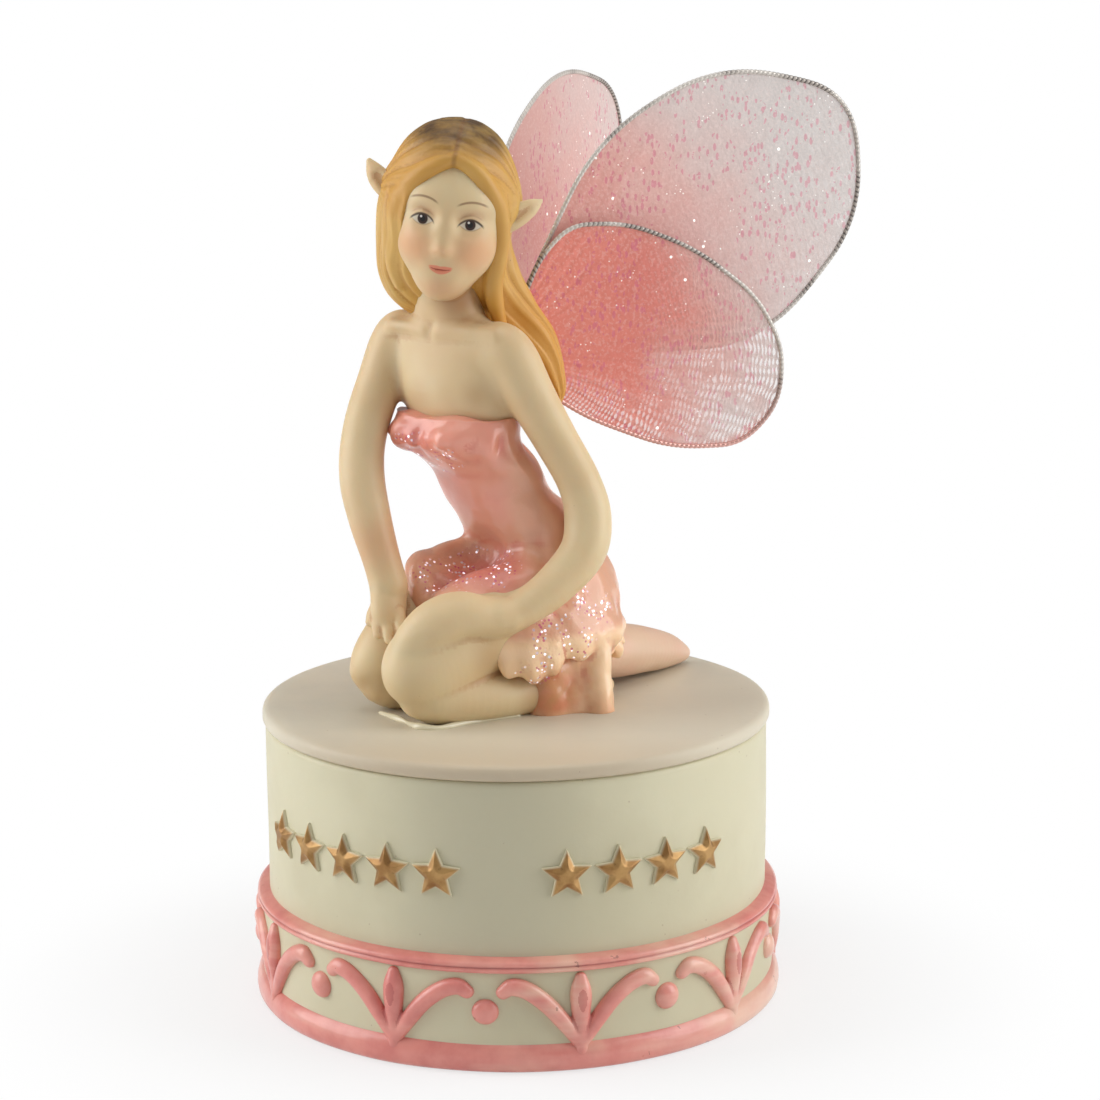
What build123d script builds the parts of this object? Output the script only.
# Keepsake box for baby teeth: a round cast tub with a frieze of leaf sprigs,
# and a lift-off lid that carries a kneeling winged figure.
# Millimetres, +Z up, front towards -Y. The origin is the centre of the tub's underside.
from build123d import *
import os
from math import cos, pi, radians, sin, tan

# Tub
tub_radius = 30.0
tub_height = 33.6
tub_wall = 3.4
tub_floor = 3.6

# Frieze round the tub's lower third
frieze_depth = 0.9
foot_band_depth = 1.7
foot_band_height = 3.3
foot_taper = 0.6
foot_lip = 0.2
upper_band_depth = 1.6
upper_band_low = 11.9
upper_band_height = 1.4
sprig_count = 9
sprig_depth = 0.95
sprig_foot = 3.1
sprig_height = 8.4
sprig_gap = 3.0
bead_radius = 1.5
bead_height = 7.1

# Corners of a sprig's arm and leaf, as shares of its half width and its height
arm_lower_shares = ((0.10, 0.00), (0.50, 0.50), (0.96, 0.63))
arm_blunt_shares = ((0.96, 0.63), (1.03, 0.76), (0.91, 0.87))
arm_upper_shares = ((0.91, 0.87), (0.46, 0.76), (0.00, 0.26))
leaf_right_shares = ((0.00, 0.00), (0.13, 0.62), (0.00, 1.00))
leaf_left_shares = ((0.00, 1.00), (-0.13, 0.62), (0.00, 0.00))

# Row of raised stars where the real box is lettered
star_radius = 3.1
star_waist = 1.45
star_edge = 0.35
star_crown = 0.5
star_height = 22.7
star_pitch = 11.6
left_star_count = 5
right_star_count = 4
left_star_start = -57.0
right_star_start = 17.5

# Lid
lid_thickness = 1.8
lid_overhang = 0.35
lid_rounding = 0.35
spigot_height = 2.4
spigot_gap = 0.4

# Figure, all of it measured from the lid's top
figure_height = 69.2
figure_turn = 7.0
torso_turn = -43.0
head_turn = 6.0
ruffle_depth = 0.55
ruffle_flare = 0.9
ruffle_length = 3.6
peg_radius = 1.25
peg_length = 5.0
peg_out = 1.2

# Wings
wire_radius = 0.36
gauze_thickness = 0.22
wing_reach = 49.5
lower_reach = 39.0
wing_step = 1.1

# How finely the modelled forms are faceted
limb_sides = 12
body_sides = 16
hair_sides = 18
ruffle_sides = 24
wire_sides = 6
wire_steps = 52
bead_sides = 10
band_sides = 50
curl_steps = 4

# One overrun for every cut that has to pass right through
overrun = 1.0

lid_radius = tub_radius + lid_overhang
lid_top = tub_height + lid_thickness
bore_radius = tub_radius - tub_wall
frieze_radius = tub_radius + frieze_depth
sprig_pitch = 2 * pi * frieze_radius / sprig_count
sprig_half_width = (sprig_pitch - sprig_gap) / 2

# Places and half sizes of the figure's sections, as shares of its height:
# x to the viewer's right, y away from the viewer, z up, then half widths.
torso_shares = (
    (-0.058, 0.023, 0.419, 0.078, 0.064),
    (-0.081, 0.019, 0.477, 0.107, 0.078),
    (-0.094, 0.014, 0.530, 0.118, 0.078),
    (-0.100, 0.016, 0.578, 0.130, 0.071),
    (-0.103, 0.019, 0.613, 0.136, 0.061),
    (-0.103, 0.022, 0.642, 0.116, 0.053),
    (-0.104, 0.020, 0.660, 0.066, 0.049),
    (-0.105, 0.014, 0.685, 0.047, 0.046),
    (-0.108, 0.003, 0.737, 0.045, 0.045),
)
head_shares = (
    (-0.111, -0.061, 0.718, 0.023, 0.022),
    (-0.111, -0.046, 0.731, 0.048, 0.049),
    (-0.110, -0.029, 0.766, 0.075, 0.081),
    (-0.107, -0.019, 0.809, 0.091, 0.101),
    (-0.103, -0.013, 0.860, 0.098, 0.108),
    (-0.098, -0.009, 0.910, 0.097, 0.107),
    (-0.094, -0.006, 0.954, 0.077, 0.087),
    (-0.092, -0.004, 0.977, 0.046, 0.053),
    (-0.092, -0.004, 0.987, 0.017, 0.020),
)
hair_shares = (
    (-0.095, 0.006, 1.000, 0.020, 0.020),
    (-0.095, 0.007, 0.990, 0.053, 0.060),
    (-0.097, 0.007, 0.962, 0.086, 0.098),
    (-0.100, 0.006, 0.910, 0.112, 0.119),
    (-0.103, 0.007, 0.853, 0.124, 0.124),
    (-0.115, 0.017, 0.795, 0.112, 0.114),
    (-0.114, 0.036, 0.737, 0.113, 0.092),
    (-0.085, 0.058, 0.686, 0.117, 0.066),
    (-0.032, 0.075, 0.636, 0.101, 0.049),
    (0.026, 0.084, 0.578, 0.062, 0.039),
    (0.061, 0.084, 0.527, 0.032, 0.026),
    (0.075, 0.081, 0.503, 0.009, 0.010),
)
left_arm_shares = (
    (-0.029, -0.046, 0.642, 0.020, 0.020),
    (-0.014, -0.056, 0.628, 0.036, 0.036),
    (0.003, -0.065, 0.598, 0.043, 0.043),
    (0.032, -0.068, 0.538, 0.040, 0.040),
    (0.071, -0.066, 0.465, 0.038, 0.038),
    (0.110, -0.070, 0.389, 0.038, 0.038),
    (0.127, -0.077, 0.332, 0.040, 0.040),
    (0.115, -0.095, 0.274, 0.039, 0.039),
    (0.063, -0.125, 0.223, 0.035, 0.035),
    (0.008, -0.152, 0.187, 0.030, 0.030),
    (-0.028, -0.166, 0.180, 0.027, 0.027),
)
right_arm_shares = (
    (-0.180, 0.078, 0.645, 0.020, 0.020),
    (-0.193, 0.085, 0.634, 0.036, 0.036),
    (-0.205, 0.086, 0.606, 0.043, 0.043),
    (-0.229, 0.055, 0.546, 0.039, 0.039),
    (-0.249, 0.010, 0.473, 0.039, 0.039),
    (-0.254, -0.026, 0.400, 0.040, 0.040),
    (-0.241, -0.055, 0.329, 0.037, 0.037),
    (-0.225, -0.077, 0.264, 0.030, 0.030),
    (-0.217, -0.087, 0.220, 0.025, 0.025),
)
left_hand_shares = (
    (-0.018, -0.163, 0.182, 0.027, 0.027),
    (-0.052, -0.172, 0.184, 0.033, 0.025),
    (-0.096, -0.184, 0.183, 0.040, 0.023),
    (-0.138, -0.194, 0.168, 0.037, 0.021),
    (-0.170, -0.199, 0.148, 0.027, 0.017),
    (-0.188, -0.200, 0.135, 0.012, 0.010),
)
right_hand_shares = (
    (-0.217, -0.085, 0.228, 0.025, 0.023),
    (-0.220, -0.094, 0.199, 0.030, 0.022),
    (-0.225, -0.104, 0.173, 0.029, 0.017),
    (-0.231, -0.113, 0.153, 0.019, 0.013),
    (-0.233, -0.116, 0.145, 0.009, 0.007),
)
left_thigh_shares = (
    (0.101, 0.000, 0.195, 0.058, 0.061),
    (0.029, -0.048, 0.182, 0.068, 0.071),
    (-0.043, -0.095, 0.159, 0.069, 0.075),
    (-0.101, -0.133, 0.129, 0.068, 0.085),
    (-0.142, -0.158, 0.105, 0.062, 0.091),
    (-0.173, -0.176, 0.092, 0.049, 0.075),
    (-0.197, -0.189, 0.087, 0.023, 0.038),
)
left_calf_shares = (
    (-0.168, -0.173, 0.049, 0.023, 0.023),
    (-0.145, -0.165, 0.046, 0.043, 0.046),
    (-0.087, -0.143, 0.038, 0.043, 0.042),
    (0.000, -0.103, 0.035, 0.038, 0.036),
    (0.087, -0.058, 0.032, 0.032, 0.032),
    (0.159, -0.014, 0.027, 0.025, 0.026),
    (0.188, 0.009, 0.025, 0.013, 0.014),
)
right_thigh_shares = (
    (0.043, 0.108, 0.195, 0.058, 0.061),
    (-0.036, 0.061, 0.185, 0.068, 0.071),
    (-0.116, 0.014, 0.159, 0.069, 0.075),
    (-0.173, -0.022, 0.133, 0.066, 0.081),
    (-0.211, -0.046, 0.106, 0.059, 0.079),
    (-0.241, -0.064, 0.088, 0.046, 0.060),
    (-0.263, -0.076, 0.082, 0.022, 0.033),
)
right_calf_shares = (
    (-0.240, -0.071, 0.049, 0.023, 0.023),
    (-0.217, -0.061, 0.046, 0.043, 0.046),
    (-0.145, -0.026, 0.038, 0.043, 0.042),
    (-0.029, 0.029, 0.035, 0.038, 0.036),
    (0.072, 0.079, 0.032, 0.032, 0.032),
    (0.145, 0.116, 0.027, 0.025, 0.026),
    (0.173, 0.133, 0.025, 0.013, 0.014),
)
bodice_shares = (
    (-0.094, 0.013, 0.502, 0.120, 0.090),
    (-0.093, 0.009, 0.485, 0.120, 0.095),
    (-0.092, 0.004, 0.466, 0.118, 0.094),
    (-0.087, 0.004, 0.448, 0.112, 0.092),
    (-0.064, 0.012, 0.422, 0.098, 0.080),
    (-0.048, 0.017, 0.401, 0.089, 0.070),
    (-0.034, 0.023, 0.370, 0.090, 0.072),
    (-0.009, 0.032, 0.338, 0.102, 0.082),
    (0.008, 0.035, 0.312, 0.113, 0.092),
)
hips_shares = (
    (0.008, 0.035, 0.312, 0.113, 0.092),
    (0.032, 0.039, 0.275, 0.123, 0.100),
    (0.051, 0.043, 0.224, 0.129, 0.105),
    (0.059, 0.043, 0.173, 0.130, 0.107),
    (0.062, 0.043, 0.123, 0.129, 0.107),
    (0.064, 0.043, 0.081, 0.124, 0.104),
)
lap_shares = (
    (0.058, 0.036, 0.181, 0.121, 0.107),
    (0.000, 0.000, 0.185, 0.126, 0.101),
    (-0.054, -0.033, 0.190, 0.127, 0.092),
    (-0.096, -0.060, 0.186, 0.120, 0.081),
)
drape_shares = (
    (0.130, -0.046, 0.107, 0.046, 0.035),
    (0.137, -0.061, 0.058, 0.039, 0.029),
    (0.140, -0.066, 0.000, 0.032, 0.023),
)
slipper_shares = (
    (0.116, 0.036, 0.065, 0.046, 0.059),
    (0.173, 0.094, 0.056, 0.051, 0.055),
    (0.224, 0.152, 0.046, 0.046, 0.046),
    (0.267, 0.199, 0.036, 0.036, 0.036),
    (0.295, 0.231, 0.025, 0.020, 0.020),
    (0.309, 0.249, 0.023, 0.007, 0.009),
)
# Pointed ears: middle of the base, then the tip, then the base's half height and half thickness
left_ear_shares = ((-0.012, 0.002, 0.830), (0.045, 0.010, 0.853), 0.034, 0.013)
right_ear_shares = ((-0.190, 0.000, 0.880), (-0.236, 0.006, 0.927), 0.034, 0.013)
# Opening of the hair round the face: x and z of its corners, and how far back it cuts
face_window_shares = (
    (-0.160, 0.640),
    (-0.188, 0.840),
    (-0.150, 0.915),
    (-0.090, 0.955),
    (-0.045, 0.905),
    (-0.008, 0.830),
    (-0.035, 0.640),
)
face_window_depth_share = -0.020
# Where the wings are rooted between the shoulder blades, right of the spine and left of it
left_root_shares = (-0.030, 0.072, 0.597)
right_root_shares = (-0.090, 0.104, 0.583)

# Corners of the wing outlines from the root, outwards and up, as shares of the reach
upper_wing_shares = (
    (0.014, 0.016),
    (0.260, 0.495),
    (0.585, 0.671),
    (0.957, 0.590),
    (0.980, 0.272),
    (0.708, -0.031),
    (0.014, -0.014),
)
lower_wing_shares = (
    (0.020, 0.018),
    (0.135, 0.280),
    (0.235, 0.378),
    (0.420, 0.375),
    (0.640, 0.290),
    (0.850, 0.130),
    (0.940, -0.040),
    (0.925, -0.215),
    (0.800, -0.335),
    (0.560, -0.330),
    (0.250, -0.205),
    (0.020, -0.018),
)
arc_share = 0.45
# Compass direction of each wing from straight away from the viewer, towards the viewer's right
left_upper_sweep = 69.0
left_lower_sweep = 72.0
right_upper_sweep = 24.5
right_lower_sweep = 14.0


def scaled(shares, size):
    return [tuple(value * size for value in row) for row in shares]


def ring(centre, along, across, half_wide, half_deep, sides, ripple=0):
    """The corners of one section: an ellipse of flats, square to the direction along."""
    plane = Plane(origin=centre, x_dir=across, z_dir=along)
    corners = []
    for step in range(sides):
        angle = 2 * pi * step / sides
        swell = ripple if step % 2 else -ripple
        flat = Vector((half_wide + swell) * cos(angle), (half_deep + swell) * sin(angle), 0)
        corners.append(plane.from_local_coords(flat))
    return corners


def flat_face(*corners):
    return Face(Wire.make_polygon(corners, close=True))


def faceted_loft(rings, tip=None):
    """Flat facets from each section to the next, closed at both ends or drawn to a tip."""
    faces = [flat_face(*reversed(rings[0]))]
    for lower, upper in zip(rings, rings[1:]):
        for i, corner in enumerate(lower):
            faces.append(flat_face(lower[i - 1], corner, upper[i]))
            faces.append(flat_face(lower[i - 1], upper[i], upper[i - 1]))
    last = rings[-1]
    if tip is None:
        faces.append(flat_face(*last))
    else:
        faces += [flat_face(last[i - 1], corner, tip) for i, corner in enumerate(last)]
    return Solid(Shell(faces))


def level_form(shares, turn, sides, size=figure_height):
    """A body of level sections, each turned about the upright by the same angle."""
    across = Vector(cos(radians(turn)), sin(radians(turn)), 0)
    rows = scaled(shares, size)
    upright = Vector(0, 0, rows[-1][2] - rows[0][2])
    rings = []
    for x, y, z, wide, deep in rows:
        rings.append(ring(Vector(x, y, z), upright, across, wide, deep, sides))
    return faceted_loft(rings)


def directions(points):
    """The way the route runs at each of its points."""
    last = len(points) - 1
    return [points[min(i + 1, last)] - points[max(i - 1, 0)] for i in range(len(points))]


def routed_form(shares, sides, size=figure_height):
    """A limb whose sections stand square to its route and whose flats stay level."""
    rows = scaled(shares, size)
    points = [Vector(x, y, z) for x, y, z, wide, deep in rows]
    rings = []
    for point, along, row in zip(points, directions(points), rows):
        level = Vector(0, 0, 1).cross(along)
        rings.append(ring(point, along, level, row[3], row[4], sides))
    return faceted_loft(rings)


def upright_form(shares, sides, across, size=figure_height):
    """A limb that hangs, whose sections keep one sideways direction."""
    rows = scaled(shares, size)
    points = [Vector(x, y, z) for x, y, z, wide, deep in rows]
    rings = []
    for point, along, row in zip(points, directions(points), rows):
        sideways = across - along * (across.dot(along) / along.dot(along))
        rings.append(ring(point, along, sideways, row[3], row[4], sides))
    return faceted_loft(rings)


def main_solid(shape):
    """The piece that is left when a cut has trimmed off crumbs."""
    return max(shape.solids(), key=lambda solid: solid.volume)


def trimmed(shape, *others):
    for other in others:
        shape = shape - other
    return main_solid(shape)


def on_lid(shape):
    """From the figure's own frame to its place on the lid."""
    return Pos(0, 0, lid_top) * Rot(0, 0, figure_turn) * shape


def ring_body(profile):
    """A revolved band from its outline in radius and height."""
    return revolve(make_face(Polyline(*[(r, 0, z) for r, z in profile], close=True)), Axis.Z)


def make_tub():
    outer = [
        (0, 0),
        (frieze_radius, 0),
        (frieze_radius, upper_band_low),
        (tub_radius, upper_band_low + frieze_depth),
        (tub_radius, tub_height),
        (bore_radius, tub_height),
        (bore_radius, tub_floor),
        (0, tub_floor),
    ]
    return ring_body(outer)


def make_foot_band():
    outer = tub_radius + foot_band_depth
    profile = [
        (frieze_radius, 0),
        (outer - foot_taper, 0),
        (outer, foot_taper),
        (outer, foot_band_height - foot_lip),
        (frieze_radius, foot_band_height),
    ]
    return ring_body(profile)


def make_upper_band():
    outer = tub_radius + upper_band_depth
    low = upper_band_low
    high = upper_band_low + upper_band_height
    groove = upper_band_height / 6
    profile = [
        (frieze_radius, low),
        (outer - groove, low),
        (outer, low + 2 * groove),
        (outer - groove, low + 3 * groove),
        (outer - groove, low + 4 * groove),
        (tub_radius, high),
        (tub_radius, low + frieze_depth),
    ]
    return ring_body(profile)


def sprig_arc(shares, side=1):
    """An arc through three corners of a sprig's outline."""
    points = [(x * side * sprig_half_width, sprig_foot + z * sprig_height) for x, z in shares]
    return ThreePointArc(*points)


def outline_face(*curves):
    """A face whose edge follows the curves in short flats."""
    corners = [curve @ (i / curl_steps) for curve in curves for i in range(curl_steps)]
    if curves[-1] @ 1 != curves[0] @ 0:
        corners.append(curves[-1] @ 1)
    return make_face(Polyline(*corners, close=True))


def curled_arm(side):
    """One arm of a sprig: it rises from the foot, curls outwards and ends blunt."""
    arm = (arm_lower_shares, arm_blunt_shares, arm_upper_shares)
    return outline_face(*[sprig_arc(shares, side) for shares in arm])


def centre_leaf():
    """The upright leaf in the middle of a sprig, pointed at both ends."""
    return outline_face(sprig_arc(leaf_right_shares), sprig_arc(leaf_left_shares))


def make_sprigs(foot_band, upper_band):
    """All alike, each laid flat in front of the wall and trimmed to the wall's curve."""
    front = Plane(origin=(0, 0, 0), x_dir=(1, 0, 0), z_dir=(0, -1, 0))
    outline = curled_arm(1) + curled_arm(-1) + centre_leaf()
    block = front * extrude(outline, tub_radius + 2 * foot_band_depth)
    block -= wall_flats(frieze_radius)
    block &= wall_flats(frieze_radius + sprig_depth)
    one = main_solid(block - foot_band - upper_band)
    turn = 360 / sprig_count
    return Compound([Rot(0, 0, turn * (i + 0.5)) * one for i in range(sprig_count)])


def wall_flats(radius):
    """A many-sided prism that just clears the round wall, to seat the relief on."""
    return extrude(RegularPolygon(radius, band_sides, major_radius=False), tub_height)


def make_beads():
    """A low dome between every two sprigs."""
    out = Vector(0, -1, 0)
    sideways = Vector(1, 0, 0)
    dome_shares = ((0.0, 1.0), (0.25, 1.0), (0.58, 0.72), (0.70, 0.34))
    rings = []
    for rise, girth in dome_shares:
        centre = Vector(0, -frieze_radius - rise * bead_radius, bead_height)
        rings.append(ring(centre, out, sideways, girth * bead_radius, girth * bead_radius, bead_sides))
    one = faceted_loft(rings)
    turn = 360 / sprig_count
    return Compound([Rot(0, 0, turn * i) * one for i in range(sprig_count)])


def make_stars():
    """Ridged five-pointed stars in two groups, standing out of the wall."""
    points = 5

    def outline(distance):
        corners = []
        for step in range(2 * points):
            reach = star_waist if step % 2 else star_radius
            angle = pi / 2 + pi * step / points
            corners.append(Vector(reach * cos(angle), -distance, star_height + reach * sin(angle)))
        return corners

    face = tub_radius + star_edge
    crown = Vector(0, -face - star_crown, star_height)
    rough = faceted_loft([outline(tub_radius - overrun), outline(face)], crown)
    one = main_solid(rough - wall_flats(tub_radius))
    turns = [left_star_start + star_pitch * i for i in range(left_star_count)]
    turns += [right_star_start + star_pitch * i for i in range(right_star_count)]
    return Compound([Rot(0, 0, turn) * one for turn in turns])


def make_lid():
    underside = tub_height - spigot_height
    spigot = bore_radius - spigot_gap
    profile = [
        (0, underside),
        (spigot, underside),
        (spigot, tub_height),
        (lid_radius, tub_height),
        (lid_radius, lid_top - lid_rounding),
        (lid_radius - lid_rounding, lid_top),
        (0, lid_top),
    ]
    return ring_body(profile)


def make_ear(shares):
    """A flat pointed ear: an upright oval base drawn out to the tip."""
    base, tip, half_tall, half_thick = shares
    start = Vector(*[value * figure_height for value in base])
    end = Vector(*[value * figure_height for value in tip])
    along = Vector(end.X - start.X, 0, 0)
    tall = half_tall * figure_height
    thick = half_thick * figure_height
    foot = ring(start, along, Vector(0, 1, 0), thick, tall, limb_sides)
    return faceted_loft([foot], end)


def make_face_window():
    """The space that the hair leaves open round the face."""
    corners = [(x * figure_height, z * figure_height) for x, z in face_window_shares]
    front = -figure_height / 2
    back = face_window_depth_share * figure_height
    near = [Vector(x, front, z) for x, z in corners]
    far = [Vector(x, back, z) for x, z in corners]
    return faceted_loft([near, far])


def make_ruffle(shares, turn=None):
    """A flared band of cloth round the last section of a form, waved along its edge."""
    row = scaled(shares, figure_height)[-1]
    before = scaled(shares, figure_height)[-2]
    end = Vector(*row[:3])
    along = (end - Vector(*before[:3])).normalized()
    if turn is None:
        across = Vector(0, 0, 1).cross(along)
    else:
        along = Vector(0, 0, -1)
        across = Vector(cos(radians(turn)), sin(radians(turn)), 0)
    flare_shares = ((-0.55, 0.1, 0.0), (-0.2, 0.8, 0.5), (0.4, 1.1, 1.0), (0.5, 0.2, 0.6))
    rings = []
    for reach, flare, wave in flare_shares:
        centre = end + along * (reach * ruffle_length)
        wide = row[3] + flare * ruffle_flare
        deep = row[4] + flare * ruffle_flare
        rings.append(ring(centre, along, across, wide, deep, ruffle_sides, wave * ruffle_depth))
    return faceted_loft(rings)


def wing_path(shares, reach):
    """The wire's outline in the wing's own plane, every corner rounded as far as its runs allow."""
    corners = [Vector(x * reach, y * reach, 0) for x, y in shares]
    radii = []
    for before, here, after in zip(corners, corners[1:], corners[2:]):
        run_in = here - before
        run_out = after - here
        shorter = min(run_in.length, run_out.length)
        turn = radians(run_in.get_angle(run_out))
        radii.append(arc_share * shorter / tan(turn / 2))
    return FilletPolyline(*corners, radius=radii)


def wing_plane(root, sweep, step):
    """Upright plane through the root; step shifts it square to itself, towards the viewer."""
    out = Vector(sin(radians(sweep)), cos(radians(sweep)), 0)
    square = out.cross(Vector(0, 0, 1))
    start = Vector(*[value * figure_height for value in root]) + square * step
    return Plane(origin=start, x_dir=out, z_dir=square)


def make_wing(root, sweep, step, shares, reach, peg, others):
    """One wire loop and the gauze stretched over it."""
    plane = wing_plane(root, sweep, step)
    path = wing_path(shares, reach)
    square = Vector(0, 0, 1)
    stations = [i / wire_steps for i in range(wire_steps + 1)]
    rings = []
    for at in stations:
        rings.append(ring(path @ at, path % at, square, wire_radius, wire_radius, wire_sides))
    wire = plane * faceted_loft(rings)
    half = square * (gauze_thickness / 2)
    front = [path @ at + half for at in stations]
    back = [path @ at - half for at in stations]
    gauze = plane * faceted_loft([front, back])
    frame = trimmed(wire, peg, *others)
    skin = trimmed(gauze, wire, peg, *others)
    return frame, skin


def make_peg(root):
    """The twisted wire ends, glued into a hole in the back."""
    at = Vector(*[value * figure_height for value in root])
    away = Vector(sin(radians(-torso_turn)), cos(radians(-torso_turn)), 0)
    rings = []
    for reach in (-peg_length, peg_out):
        rings.append(ring(at + away * reach, away, Vector(0, 0, 1), peg_radius, peg_radius, limb_sides))
    return faceted_loft(rings)


# Tub and what is cast on it
tub = make_tub()
foot_band = make_foot_band()
upper_band = make_upper_band()
parts = {
    "box_body": tub,
    "foot_band": foot_band,
    "upper_band": upper_band,
    "leaf_sprigs": make_sprigs(foot_band, upper_band),
    "dot_beads": make_beads(),
    "gold_stars": make_stars(),
    "lid": make_lid(),
}

# Figure: each form gives way to those made before it
figure = {}
ground = Box(
    2 * figure_height,
    2 * figure_height,
    figure_height,
    align=(Align.CENTER, Align.CENTER, Align.MAX),
)
pegs = {"left_wing_peg": make_peg(left_root_shares), "right_wing_peg": make_peg(right_root_shares)}
peg_pair = list(pegs.values())
hanging = Vector(cos(radians(torso_turn)), sin(radians(torso_turn)), 0)

torso = trimmed(level_form(torso_shares, torso_turn, body_sides), *peg_pair)
head = trimmed(level_form(head_shares, head_turn, body_sides), torso)
left_arm = trimmed(upright_form(left_arm_shares, limb_sides, hanging), torso)
right_arm = trimmed(upright_form(right_arm_shares, limb_sides, hanging), torso)
left_leg = routed_form(left_thigh_shares, limb_sides) + routed_form(left_calf_shares, limb_sides)
left_leg = trimmed(left_leg, ground, left_arm)
right_leg = routed_form(right_thigh_shares, limb_sides) + routed_form(right_calf_shares, limb_sides)
right_leg = trimmed(right_leg, ground, left_leg)
bodice = trimmed(level_form(bodice_shares, torso_turn, body_sides), torso, left_arm, right_arm)
skirt = level_form(hips_shares, torso_turn, body_sides) + routed_form(lap_shares, body_sides)
skirt = trimmed(skirt, ground, left_leg, right_leg, left_arm, right_arm, bodice)
left_hand = trimmed(routed_form(left_hand_shares, limb_sides), left_arm, left_leg, skirt)
right_hand = trimmed(upright_form(right_hand_shares, limb_sides, hanging), right_arm, right_leg, left_leg)
solid_figure = [torso, head, left_arm, right_arm, left_leg, right_leg, bodice, skirt, left_hand, right_hand]
lap_ruffle = trimmed(make_ruffle(lap_shares), ground, *solid_figure)
hem_ruffle = trimmed(make_ruffle(hips_shares, torso_turn), ground, *solid_figure, lap_ruffle)
hem_drape = trimmed(level_form(drape_shares, 0, limb_sides), *solid_figure, hem_ruffle)
slippers = trimmed(routed_form(slipper_shares, limb_sides), ground, *solid_figure, hem_ruffle, hem_drape)
hair = level_form(hair_shares, 0, hair_sides)
hair = trimmed(hair, make_face_window(), torso, head, left_arm, right_arm, bodice, *peg_pair)
left_ear = trimmed(make_ear(left_ear_shares), head, hair)
right_ear = trimmed(make_ear(right_ear_shares), head, hair)

figure["torso"] = torso
figure["head"] = head
figure["hair"] = hair
figure["left_ear"] = left_ear
figure["right_ear"] = right_ear
figure["left_arm"] = left_arm
figure["right_arm"] = right_arm
figure["left_hand"] = left_hand
figure["right_hand"] = right_hand
figure["left_leg"] = left_leg
figure["right_leg"] = right_leg
figure["bodice"] = bodice
figure["skirt"] = skirt
figure["lap_ruffle"] = lap_ruffle
figure["hem_ruffle"] = hem_ruffle
figure["hem_drape"] = hem_drape
figure["slippers"] = slippers
figure.update(pegs)

wings = (
    ("left_upper_wing", left_root_shares, left_upper_sweep, 0, upper_wing_shares, wing_reach),
    ("left_lower_wing", left_root_shares, left_lower_sweep, wing_step, lower_wing_shares, lower_reach),
    ("right_upper_wing", right_root_shares, right_upper_sweep, 0, upper_wing_shares, wing_reach),
    ("right_lower_wing", right_root_shares, right_lower_sweep, -wing_step, lower_wing_shares, lower_reach),
)
blockers = [hair, torso, left_arm, right_arm, bodice]
for name, root, sweep_angle, step, shares, reach in wings:
    peg = pegs[name.split("_")[0] + "_wing_peg"]
    frame, skin = make_wing(root, sweep_angle, step, shares, reach, peg, blockers)
    figure[name + "_frame"] = frame
    figure[name + "_gauze"] = skin

for name, shape in figure.items():
    parts[name] = on_lid(shape)

os.makedirs("parts", exist_ok=True)
for name, shape in parts.items():
    export_step(shape, "parts/" + name + ".step")
    print(name, len(shape.solids()), round(shape.volume, 2))
